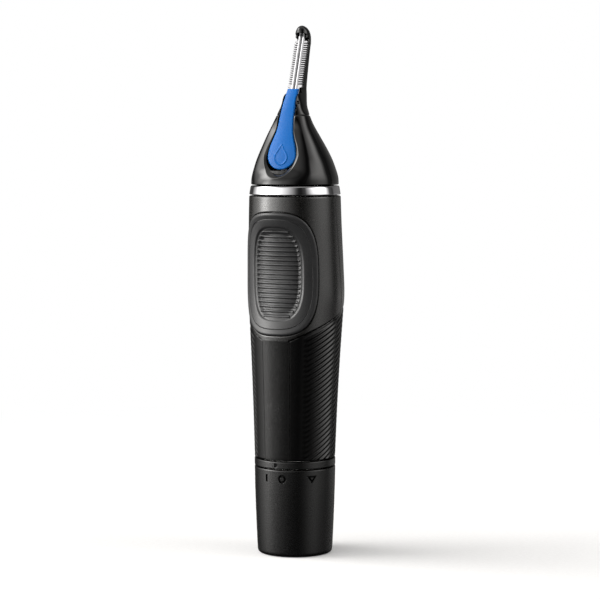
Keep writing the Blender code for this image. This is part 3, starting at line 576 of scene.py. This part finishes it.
def make_cap():
    """Battery cap with three marks engraved under its rim: a bar, a ring and a triangle."""
    rim = 23.85
    a = np.radians(merge((-21.0, 62.0, 0.5), (65.0, 336.0, 3.0)))
    wall = np.array(((1.2, 10.28), (4.0, 10.43), (10.6, 10.71), (17.3, 10.94), (rim, 11.07)))
    z = merge(1.2, (1.2, 19.6, 1.15), (19.6, 23.4, 0.1), 23.5, 23.62, 23.72, 23.8, rim)
    angle, height = np.meshgrid(a, z)
    sx = along_front(angle)
    bar_at, ring_centre, triangle_at = (math.radians(degrees) * MARK_RADIUS for degrees in (-15.9, 9.8, 53.0))
    bar = np.maximum(np.abs(sx - bar_at) - 0.25, np.abs(height - 21.5) - 0.95)
    ring = np.abs(np.hypot(sx - ring_centre, height - 21.45) - 0.85) - 0.23
    half, tall = 1.4, 2.0
    x = np.abs(sx - triangle_at)
    y = height - 22.35
    inside = np.maximum(y, (x * tall - (y + tall) * half) / math.hypot(half, tall))
    triangle = np.abs(inside + 0.2) - 0.2
    mark = np.minimum(np.minimum(bar, ring), triangle)
    radius = curve(wall, height) - 0.42 * (1 - smooth(mark, -0.05, 0.05)) - rounding(rim - height, 0.3)
    outer = np.stack((radius * np.sin(angle), -radius * np.cos(angle), height), -1)
    foot = ((0.5, 0.05), (8.7, 0.05), (8.95, 0.0), (9.55, 0.0), (9.8, 0.04), (10.0, 0.16), (10.13, 0.34),
            (10.22, 0.62), (10.26, 0.9))
    inner = ((9.35, rim), (9.3, 23.7), (9.3, 6.0), (8.9, 3.0), (8.6, 1.6), (0.5, 1.6))
    rings = [ring_at(a, r, h) for r, h in foot] + list(outer) + [ring_at(a, r, h) for r, h in inner]
    # Bayonet keys inside the rim
    keys = [rounded_bar((side * 8.65, -1.0, 18.4), (side * 9.5, 1.0, 20.6), 0.15) for side in (-1, 1)]
    verts, faces = join([(np.concatenate(rings), stack_faces(len(rings), len(a)))] + keys)
    made = piece("cap", verts, faces, FINISH["cap_black"], "satin_black", "cap", ["battery_cap"])
    engraved(made, lambda x, y: curve(wall, y) - 0.2)


def rounded_bar(low, high, e):
    """Box with its long edges cut off by e, as points and faces."""
    (x0, y0, z0), (x1, y1, z1) = np.minimum(low, high), np.maximum(low, high)
    section = ((x0 + e, y0), (x1 - e, y0), (x1, y0 + e), (x1, y1 - e), (x1 - e, y1), (x0 + e, y1),
               (x0, y1 - e), (x0, y0 + e))
    points = np.array([(x, y, z) for z in (z0, z1) for x, y in section])
    return points, stack_faces(2, len(section))


# ---------------------------------------------------------------- head

def tongue_half(z):
    """The tongue's half width at a height."""
    down = np.clip((LOBE - z) / DROP, 0.0, 1.0)
    return np.where(z >= LOBE, curve(TONGUE_WIDTHS, z), LOBE_HALF * np.sqrt(np.maximum(0.0, 1 - down**2)))


def baked(target):
    """The object's mesh with its modifiers applied."""
    bpy.context.view_layer.update()
    return bpy.data.meshes.new_from_object(target.evaluated_get(bpy.context.evaluated_depsgraph_get()))


def boolean(target, tool):
    """Cuts the tool out of the target."""
    change = target.modifiers.new("cut", "BOOLEAN")
    change.solver = "EXACT"
    change.object = tool
    result = baked(target)
    target.modifiers.clear()
    old = target.data
    target.data = result
    bpy.data.meshes.remove(old)
    bpy.data.objects.remove(tool)


def helper(verts, faces, scale=1.0):
    """Object that is only worked with, and isn't a piece."""
    mesh = bpy.data.meshes.new("helper")
    mesh.from_pydata((np.asarray(verts, float) * scale).tolist(), [], faces)
    bm = bmesh.new()
    bm.from_mesh(mesh)
    bmesh.ops.recalc_face_normals(bm, faces=bm.faces)
    bm.to_mesh(mesh)
    bm.free()
    made = bpy.data.objects.new("helper", mesh)
    scene.collection.objects.link(made)
    return made


def prism(outline, front, behind, scale=1.0):
    """Outline of (x, z) points, extruded along Y."""
    verts = [(x, y, z) for y in (front, behind) for x, z in outline]
    return helper(verts, stack_faces(2, len(outline)), scale)


def head_flat(turn, level):
    """Share by which the head is flattened at its front, beside the tongue."""
    sides = smooth(np.cos(turn), 0.62, 0.985)
    return sides * smooth(level, 101.0, 105.6) * (1.0 - smooth(level, 115.5, 119.2))


def make_head():
    """Drop-shaped shell, flatter at its front, with the tongue's opening and the lip round it."""
    side, below = 0.22, 1.0            # gap beside the tongue and under its lobe
    lobe_half, lobe_drop = LOBE_HALF + side, DROP + below
    a = np.radians(merge((-76.0, 76.0, 0.55), (79.0, 281.0, 3.0)))
    z = merge(HEAD_LOW, 100.82, 100.95, (101.1, 119.2, 0.16), 119.3, HEAD_TOP)
    angle, height = np.meshgrid(a, z)
    radius = curve(HEAD, height)
    x = radius * np.sin(angle)
    half = curve(TONGUE_WIDTHS, np.maximum(height, LOBE)) + side
    lobe = (np.hypot(x / lobe_half, (height - LOBE) / lobe_drop) - 1.0) * lobe_drop
    distance = np.where(height >= LOBE, np.abs(x) - half, lobe)
    base_width = 1.35 - 0.2 * np.clip(np.abs(x) / 4.0, 0, 1)
    width = base_width - 0.95 * np.clip((height - LOBE) / (118.5 - LOBE), 0, 1)
    share = np.clip(1 - distance / width, 0.0, 1.0)
    fall = 1.35 * np.minimum(1.0, width)
    lift = np.where(np.cos(angle) > 0, -fall * share**1.25, 0.0)
    lift -= rounding(height - HEAD_LOW, 0.25) + rounding(HEAD_TOP - height, 0.08)
    radius = radius + lift - 1.15 * head_flat(angle, height)
    outer = np.stack((radius * np.sin(angle), curve(HEAD, height, 2) - radius * np.cos(angle), height), -1)
    inner = [ring_at(a, curve(HEAD, level) - 2.5 - 0.7 * head_flat(a, level), level, curve(HEAD, level, 2))
             for level in np.linspace(HEAD_TOP, HEAD_LOW, 14)]
    rings = np.concatenate((outer, np.array(inner)))
    shell = tube("head", rings, FINISH["gloss_black"], "gloss_black", "handle", ["head_shell"])
    theta = np.linspace(0, np.pi / 2, 26)
    down = [(lobe_half * math.sin(t), LOBE - lobe_drop * math.cos(t)) for t in theta[1:-1]]
    up = [(float(curve(TONGUE_WIDTHS, h)) + side, h) for h in np.linspace(LOBE, 121.0, 40)]
    half_line = [(0.0, LOBE - DROP - below)] + down + up
    outline = half_line + [(-px, pz) for px, pz in reversed(half_line[1:])]
    boolean(shell, prism(outline, -16.0, -1.5, MM))
    shell.data.shade_smooth()
    shell.data.set_sharp_from_angle(angle=math.radians(34))


def make_tongue():
    """Blue lever with a round lobe, a crowned face and the raised outline of a drop."""
    top = 126.6
    theta = np.linspace(0.02, np.pi / 2, 34)
    z = np.concatenate((LOBE - DROP * np.cos(theta), np.linspace(LOBE, top, 150)[1:-3],
                        (top - 0.3, top - 0.2, top - 0.12, top - 0.05, top)))
    across = np.sin(np.linspace(-np.pi / 2, np.pi / 2, 97))
    u, zz = np.meshgrid(across, z)
    half = tongue_half(zz)
    x = u * half
    rho = np.hypot(x / LOBE_HALF, (zz - LOBE) / DROP)
    inside = np.where(zz >= LOBE, (1 - np.abs(u)) * half, (1 - rho) * 4.0)
    inside = np.minimum(inside, np.maximum(top - zz, 0.0) + 0.02)
    crown = 0.06 * half * (x / np.maximum(half, 0.5))**2 + 0.35 * (np.abs(x) / 5.0)**2
    y = curve(TONGUE_FACE, zz) + crown + rounding(inside, 0.38)
    # Distance from the outline of a drop: a round foot, two straight flanks and a tip
    r1, height = 1.85, 3.4
    b = r1 / height
    k = math.sqrt(1 - b * b)
    px, pz = np.abs(x), zz - 108.15
    along = -b * px + k * pz
    drop = np.where(along < 0, np.hypot(px, pz) - r1,
                    np.where(along > k * height, np.hypot(px, pz - height), k * px + b * pz - r1))
    y -= 0.16 * np.exp(-(drop / 0.15)**2)
    front = np.stack((x, y, zz), -1)
    behind = np.stack((x * 0.97, curve(TONGUE_FACE, zz) + crown + 0.85, zz), -1)
    step = 4
    rows = (len(z) - 1) // step * step + 1
    front = np.concatenate((front[:rows - 1], front[-1:]))
    behind = np.concatenate((behind[:rows - 1], behind[-1:]))[::step, ::step]
    patch("tongue", front, behind, step, FINISH["tongue_blue"], "tongue_blue", "handle", ["wash_tongue"])


def make_ring():
    """Chrome ring, widest just above its foot."""
    profile = ((10.7, 98.05), (12.15, 98.05), (12.33, 98.1), (12.4, 98.22), (12.38, 98.42), (12.3, 98.9),
               (12.2, 99.5), (12.1, 100.05), (12.03, 100.28), (11.94, 100.4), (11.8, 100.45), (10.7, 100.45))
    tube("ring", lathe(profile, 240), FINISH["chrome"], "chrome", "handle", ["trim_ring"])


# The blade's own frame: where it starts and how far it leans back
BLADE_Y = -0.4
BLADE_Z = 126.5
TILT = math.radians(17.2)


def from_blade(points):
    """Blade frame (x, backward, up the blade) to the row frame."""
    p = np.asarray(points, float).reshape(-1, 3)
    y = BLADE_Y + p[:, 1] * math.cos(TILT) + p[:, 2] * math.sin(TILT)
    z = BLADE_Z - p[:, 1] * math.sin(TILT) + p[:, 2] * math.cos(TILT)
    return np.stack((p[:, 0], y, z), -1)


def arm_section(level):
    """Half width, half depth, centre and roundness of the arm at a height."""
    return (float(curve(ARM, level, k)) for k in (1, 2, 3, 4))


def make_arm():
    """Neck and hood in one solid, cut in the blade's frame, then evened out with a voxel remesh."""
    a = np.linspace(0, 2 * np.pi, 96, endpoint=False)
    rings = [np.stack((r * np.cos(a), -0.95 + r * np.sin(a), np.full_like(a, h)), -1)
             for r, h in ((4.3, 119.42), (4.34, 119.62))]
    for level in merge((119.7, 143.0, 0.25), (143.0, 143.7, 0.1), 143.76, 143.8):
        hx, hy, cy, power = arm_section(level)
        c, s = np.cos(a), np.sin(a)
        reach = (np.abs(c)**power + np.abs(s)**power)**(-1 / power)
        rings.append(np.stack((hx * reach * c, cy + hy * reach * s, np.full_like(a, level)), -1))
    arm = helper(np.concatenate(rings), stack_faces(len(rings), len(a)))
    cutters = (((-2.35, -7.0, -9.5), (2.35, 1.0, -4.9)),       # front of the neck, where the tongue is wide
               ((-2.05, -7.0, -9.5), (2.05, 1.0, 0.4)),        # and where it is narrow
               ((-2.35, -7.0, 0.35), (2.35, 1.0, 14.6)),       # room for the combs
               ((-1.3, -0.35, 13.4), (1.3, 0.95, 17.0)),       # pocket in the hood for their tips
               ((-2.6, -6.0, 13.3), (2.6, -0.3, 15.4)),        # the hood's open front
               ((-1.2, 0.9, 0.9), (1.2, 2.1, 13.6)),           # groove behind the combs
               ((1.25, 0.3, -1.9), (1.75, 1.5, -0.3)))         # small slot in the left cheek
    for low, high in cutters:
        corners = [(x, y, w) for x in (low[0], high[0]) for y in (low[1], high[1]) for w in (low[2], high[2])]
        sides = [(0, 1, 3, 2), (4, 6, 7, 5), (0, 4, 5, 1), (2, 3, 7, 6), (0, 2, 6, 4), (1, 5, 7, 3)]
        boolean(arm, helper(from_blade(corners), sides))
    # Dimple in the left cheek, which faces the camera
    level, lean = 122.9, math.radians(52.0)
    hx, hy, cy, power = arm_section(level)
    reach = (math.sin(lean)**power + math.cos(lean)**power)**(-1 / power)
    centre = (hx * reach * math.sin(lean), cy - hy * reach * math.cos(lean), level)
    ball = bmesh.new()
    bmesh.ops.create_icosphere(ball, subdivisions=3, radius=0.42)
    bmesh.ops.translate(ball, verts=ball.verts, vec=centre)
    dimple = bpy.data.objects.new("helper", bpy.data.meshes.new("helper"))
    ball.to_mesh(dimple.data)
    ball.free()
    scene.collection.objects.link(dimple)
    boolean(arm, dimple)
    change = arm.modifiers.new("even", "REMESH")
    change.mode = "VOXEL"
    change.voxel_size = 0.09
    ease = arm.modifiers.new("ease", "SMOOTH")
    ease.factor = 0.5
    ease.iterations = 3
    mesh = baked(arm)
    bpy.data.objects.remove(arm)
    mesh.transform(Matrix.Scale(MM, 4))
    mesh.name = "arm"
    mesh.shade_smooth()
    mesh.materials.clear()
    mesh.materials.append(FINISH["gloss_black"])
    made = bpy.data.objects.new("arm", mesh)
    scene.collection.objects.link(made)
    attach(made, "handle")
    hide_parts("guard_arm")


def comb_outline(foot, tip, foot_half, spine):
    """Outline of a double-sided comb as (x, height) points: the right half, then its mirror image."""
    teeth, pitch, wide, start, reach = 19, 0.61, 0.38, 1.6, 2.1
    # Foot and the lug under the teeth
    line = [(foot_half, foot), (foot_half, start - 1.25), (foot_half + 0.15, start - 1.1), (2.0, start - 1.1),
            (2.12, start - 1.03), (2.17, start - 0.9), (2.17, start - 0.5), (2.12, start - 0.38),
            (2.0, start - 0.31), (spine + 0.1, start - 0.3), (spine, start - 0.22)]
    for i in range(teeth):
        base = start + i * pitch
        line += [(spine, base - 0.03), (spine + 0.05, base + 0.01), (reach - 0.12, base + 0.045),
                 (reach - 0.03, base + 0.08), (reach, base + 0.5 * wide), (reach - 0.03, base + wide - 0.08),
                 (reach - 0.12, base + wide - 0.045), (spine + 0.05, base + wide - 0.01),
                 (spine, base + wide + 0.03)]
    # Last, blunt tooth and the tip
    end = start + teeth * pitch
    line += [(spine, end - 0.02), (1.7, end + 0.02), (1.85, end + 0.1), (1.9, end + 0.28), (1.85, end + 0.46),
             (1.7, end + 0.54), (spine + 0.1, end + 0.58), (spine, end + 0.66), (spine, tip - 0.6),
             (spine * 0.85, tip - 0.3), (spine * 0.55, tip - 0.08), (0.2, tip)]
    return np.array(line + [(-x, z) for x, z in reversed(line)])


def sheet_metal(outline, front, behind, edge):
    """Flat part with slightly eased edges, in the blade frame."""
    before = np.roll(outline, 1, 0)
    after = np.roll(outline, -1, 0)
    d1 = (outline - before) / np.linalg.norm(outline - before, axis=1)[:, None]
    d2 = (after - outline) / np.linalg.norm(after - outline, axis=1)[:, None]
    n = np.stack((d1[:, 1] + d2[:, 1], -d1[:, 0] - d2[:, 0]), -1)
    n /= np.maximum(np.linalg.norm(n, axis=1), 0.2)[:, None]
    verts = []
    for b, out in ((front, -edge), (front + edge, 0.0), (behind - edge, 0.0), (behind, -edge)):
        verts += [(x, b, u) for x, u in outline + n * out]
    return np.array(verts), stack_faces(4, len(outline))


def bar_along(x0, x1, b_top, b_low, u0, u1):
    """Half-round rail along the blade."""
    t = np.linspace(0, np.pi, 9)
    cx, rx = (x0 + x1) / 2, (x1 - x0) / 2
    section = [(cx - rx * math.cos(k), b_low + (b_top - b_low) * min(1.0, 1.25 * math.sin(k))) for k in t]
    section += [(x1, b_low + 0.1), (x0, b_low + 0.1)]
    return np.array([(x, b, u) for u in (u0, u1) for x, b in section]), stack_faces(2, len(section))


def make_combs():
    """Front comb with two rails and the groove between them, whose darker steel is painted shade, and the
    moving comb behind it.
    """
    plate = sheet_metal(comb_outline(-9.0, 16.6, 1.5, 0.93), 0.0, 0.35, 0.03)
    rails = [bar_along(x0, x1, top, 0.02, -1.2, 16.0)
             for x0, x1, top in ((-0.9, -0.24, -0.2), (0.24, 0.9, -0.2), (-0.23, 0.23, -0.03))]
    verts, faces = join([plate] + rails)
    made = piece("comb_front", from_blade(verts), faces, FINISH["blade_steel"], "blade_steel", "handle",
                 ["fixed_blade"], sharp=30)
    # The strip between the rails takes the darker steel: painted shade for the groove
    made.data.materials.append(FINISH["groove_painted_shade"])
    for face in made.data.polygons[len(faces) - len(rails[-1][1]):]:
        face.material_index = 1
    verts, faces = sheet_metal(comb_outline(-14.0, 15.9, 1.1, 0.83), 0.45, 0.75, 0.03)
    piece("comb_moving", from_blade(verts), faces, FINISH["blade_steel"], "blade_steel", "blade",
          ["moving_blade"], sharp=30)


# ---------------------------------------------------------------- battery and spring

def make_cell():
    """Standard AA cell: the can in its sleeve, and the terminal on top."""
    profile = ((0.5, 4.55), (4.6, 4.55), (4.8, 4.5), (6.75, 4.5), (6.98, 4.6), (7.08, 4.8), (7.1, 5.2),
               (7.1, 53.3), (7.06, 53.6), (6.95, 53.82), (6.7, 53.95), (6.4, 53.85), (6.2, 53.5), (2.7, 53.5),
               (0.5, 53.5))
    cup("cell", lathe(profile, 120), FINISH["cell_jacket"], "cell_jacket", "cell", ["battery_cell"])
    profile = ((0.5, 53.6), (2.6, 53.6), (2.6, 54.75), (2.52, 54.9), (2.35, 55.0), (0.5, 55.0))
    cup("terminal", lathe(profile, 72), FINISH["nickel"], "nickel", "cell", ["battery_terminal"])


def make_spring():
    """Conical spring as it lies squeezed between its plate and the cell, with room at both ends."""
    wire, turns, count, sides, room = 0.25, 1.6, 150, 12, 0.3
    low, high = 2.2 + room + wire, 4.5 - room - wire
    t = np.linspace(0, 1, count)[:, None]
    a = 2 * np.pi * turns * t
    k = np.linspace(0, 2 * np.pi, sides, endpoint=False)[None, :]
    reach = 5.0 - 1.6 * t + wire * np.cos(k)
    points = np.stack((reach * np.cos(a), reach * np.sin(a), low + (high - low) * t + wire * np.sin(k)), -1)
    cup("spring", points, FINISH["nickel"], "nickel", "cap", ["battery_spring"])


make_handle()
make_grip()
make_pad()
make_collar()
make_cap()
make_head()
make_tongue()
make_ring()
make_arm()
make_combs()
make_cell()
make_spring()


# ---------------------------------------------------------------- floor and light

def make_floor():
    """Round white floor that fades into the backdrop. It is clear to all but the camera's own rays."""
    rings = lathe([(r, 0.0) for r in (1.0, 8.0, 20.0, 40.0, 80.0, 140.0, 220.0, 320.0, 450.0)], 96)
    rows, columns = rings.shape[:2]
    mesh = bpy.data.meshes.new("floor")
    faces = grid_faces(rows, columns) + [list(range(columns))]
    mesh.from_pydata((rings.reshape(-1, 3) * MM - np.array((0, 0, 0.0001))).tolist(), [], faces)
    mesh.shade_smooth()
    made = bpy.data.objects.new("floor", mesh)
    scene.collection.objects.link(made)
    paint = bpy.data.materials.new("floor")
    paint.use_nodes = True
    g = Graph(paint.node_tree)
    paint.node_tree.nodes.clear()
    place = g.node("ShaderNodeTexCoord").outputs["Object"]
    grain = g.node("ShaderNodeTexNoise", Scale=900.0, Detail=3.0)
    g.feed(grain.inputs["Vector"], place)
    tone = g.blend(g.spread(grain.outputs["Fac"], 0.0, 1.0), (0.80, 0.80, 0.80, 1), (0.84, 0.84, 0.84, 1))
    matte = g.node("ShaderNodeBsdfDiffuse")
    g.feed(matte.inputs["Color"], tone)
    lift = g.node("ShaderNodeEmission", Strength=FLOOR_GLOW)
    both = g.node("ShaderNodeAddShader")
    g.links.new(matte.outputs[0], both.inputs[0])
    g.links.new(lift.outputs[0], both.inputs[1])
    white = g.node("ShaderNodeEmission", Strength=1.0)
    length = g.node("ShaderNodeVectorMath", operation="LENGTH")
    g.feed(length.inputs[0], place)
    fade = g.node("ShaderNodeMapRange", interpolation_type="SMOOTHSTEP")
    for name, value in (("Value", length.outputs["Value"]), ("From Min", 0.05), ("From Max", 0.3)):
        g.feed(fade.inputs[name], value)
    mix = g.node("ShaderNodeMixShader")
    g.feed(mix.inputs[0], fade.outputs[0])
    g.links.new(both.outputs[0], mix.inputs[1])
    g.links.new(white.outputs[0], mix.inputs[2])
    unseen = g.node("ShaderNodeBsdfTransparent")
    choose = g.node("ShaderNodeMixShader")
    g.feed(choose.inputs[0], g.node("ShaderNodeLightPath").outputs["Is Camera Ray"])
    g.links.new(unseen.outputs[0], choose.inputs[1])
    g.links.new(mix.outputs[0], choose.inputs[2])
    out = g.node("ShaderNodeOutputMaterial")
    g.links.new(choose.outputs[0], out.inputs[0])
    mesh.materials.append(paint)


# Studio light by direction round the object: degrees from the camera, to its right if positive, then the
# strength at each of the heights in LIGHT_HEIGHTS, which are the direction's upward part
FLOOR_GLOW = 0.12
ROOF = 0.9
LIGHT_HEIGHTS = (-0.15, -0.09, -0.05, 0.4, 0.6)
LIGHT_BANDS = ((-180, 0.1, 0.1, 0.1, 0.1, 0.1), (-137, 0.06, 0.06, 0.06, 0.06, 0.08),
               (-129, 0.2, 0.3, 0.4, 0.6, 0.8), (-119, 0.4, 0.6, 0.8, 1.5, 2.5),
               (-112, 0.6, 1.2, 1.0, 3.0, 8.5), (-104, 0.9, 1.6, 1.6, 4.0, 10.5),
               (-97, 1.4, 1.8, 3.0, 4.0, 10.2), (-90, 1.6, 2.0, 9.0, 5.0, 10.0),
               (-79, 1.3, 1.8, 13.0, 7.0, 7.0), (-72, 1.0, 1.3, 9.0, 5.0, 2.2),
               (-66, 0.7, 1.1, 5.5, 3.8, 1.4), (-50, 0.4, 0.9, 3.8, 2.8, 1.1),
               (-35, 0.15, 0.7, 1.7, 1.6, 0.95), (-20, 0.05, 0.6, 0.9, 1.0, 0.8),
               (-11, 0.02, 0.45, 0.5, 0.6, 0.5), (-3, 0.03, 0.3, 0.3, 0.3, 0.3),
               (3, 0.03, 0.12, 0.05, 0.12, 0.2), (9, 0.04, 0.02, 0.01, 0.03, 0.08),
               (16, 0.1, 0.005, 0.0, 0.02, 0.03), (27, 0.3, 0.006, 0.0, 0.1, 0.03),
               (36, 0.6, 0.08, 0.02, 0.8, 0.08), (46, 0.9, 0.42, 0.3, 2.0, 0.35),
               (56, 1.0, 0.7, 0.5, 2.6, 0.95), (66, 0.8, 0.9, 0.85, 3.0, 1.7),
               (78, 0.4, 0.85, 0.95, 3.0, 3.2), (86, 0.3, 0.8, 0.75, 2.6, 2.8),
               (93, 0.25, 0.5, 0.6, 0.9, 1.1), (99, 0.2, 0.08, 0.12, 0.12, 0.15),
               (113, 0.2, 0.05, 0.05, 0.05, 0.05), (118, 0.25, 1.1, 0.25, 0.08, 0.3),
               (150, 0.2, 0.6, 0.25, 0.25, 0.2), (180, 0.1, 0.1, 0.1, 0.1, 0.1))


def make_light():
    """World light by direction; the camera itself sees plain white."""
    world = bpy.data.worlds.new("studio")
    scene.world = world
    world.use_nodes = True
    g = Graph(world.node_tree)
    world.node_tree.nodes.clear()
    direction = g.node("ShaderNodeTexCoord").outputs["Generated"]

    def dot(vector):
        made = g.node("ShaderNodeVectorMath", operation="DOT_PRODUCT")
        g.feed(made.inputs[0], direction)
        made.inputs[1].default_value = vector
        return made.outputs["Value"]

    ahead = dot((math.sin(turn), -math.cos(turn), 0.0))
    across = dot((math.cos(turn), math.sin(turn), 0.0))
    up = dot((0.0, 0.0, 1.0))
    position = g.math("MULTIPLY_ADD", g.math("ARCTAN2", across, ahead), 1 / (2 * math.pi), 0.5)
    top = max(max(band[1:]) for band in LIGHT_BANDS)
    bands = None
    for tier, height in enumerate(LIGHT_HEIGHTS):
        ramp = g.node("ShaderNodeValToRGB")
        g.feed(ramp.inputs[0], position)
        stops = ramp.color_ramp.elements
        while len(stops) > 1:
            stops.remove(stops[-1])
        for k, band in enumerate(LIGHT_BANDS):
            stop = stops[0] if k == 0 else stops.new(band[0] / 360 + 0.5)
            stop.position = band[0] / 360 + 0.5
            stop.color = (band[tier + 1] / top,) * 3 + (1.0,)
        level = g.math("MULTIPLY", ramp.outputs[0], top)
        if bands is None:
            bands = level
        else:
            share = g.spread(up, 0.0, 1.0, LIGHT_HEIGHTS[tier - 1], height)
            bands = g.math("ADD", bands, g.math("MULTIPLY", share, g.math("SUBTRACT", level, bands)))
    # The bands fade out downwards and upwards, and a roof and a dim ground take over
    over = g.spread(up, 0.0, 1.0, -0.38, -0.2)
    under = g.spread(up, 1.0, 0.0, 0.62, 0.92)
    sides = g.math("MULTIPLY", bands, g.math("MULTIPLY", over, under))
    roof = g.math("MULTIPLY", g.spread(up, 0.0, 1.0, 0.72, 0.95), ROOF)
    ground = g.math("MULTIPLY", g.spread(up, 1.0, 0.0, -0.5, -0.2), 0.01)
    strength = g.math("ADD", g.math("ADD", sides, roof), ground)
    lit = g.node("ShaderNodeBackground", Color=(1.0, 0.985, 0.965, 1.0))
    g.feed(lit.inputs["Strength"], strength)
    seen = g.node("ShaderNodeBackground", Color=(1, 1, 1, 1), Strength=1.0)
    mix = g.node("ShaderNodeMixShader")
    g.feed(mix.inputs[0], g.node("ShaderNodeLightPath").outputs["Is Camera Ray"])
    g.links.new(lit.outputs[0], mix.inputs[1])
    g.links.new(seen.outputs[0], mix.inputs[2])
    out = g.node("ShaderNodeOutputWorld")
    g.links.new(mix.outputs[0], out.inputs[0])


make_floor()
make_light()
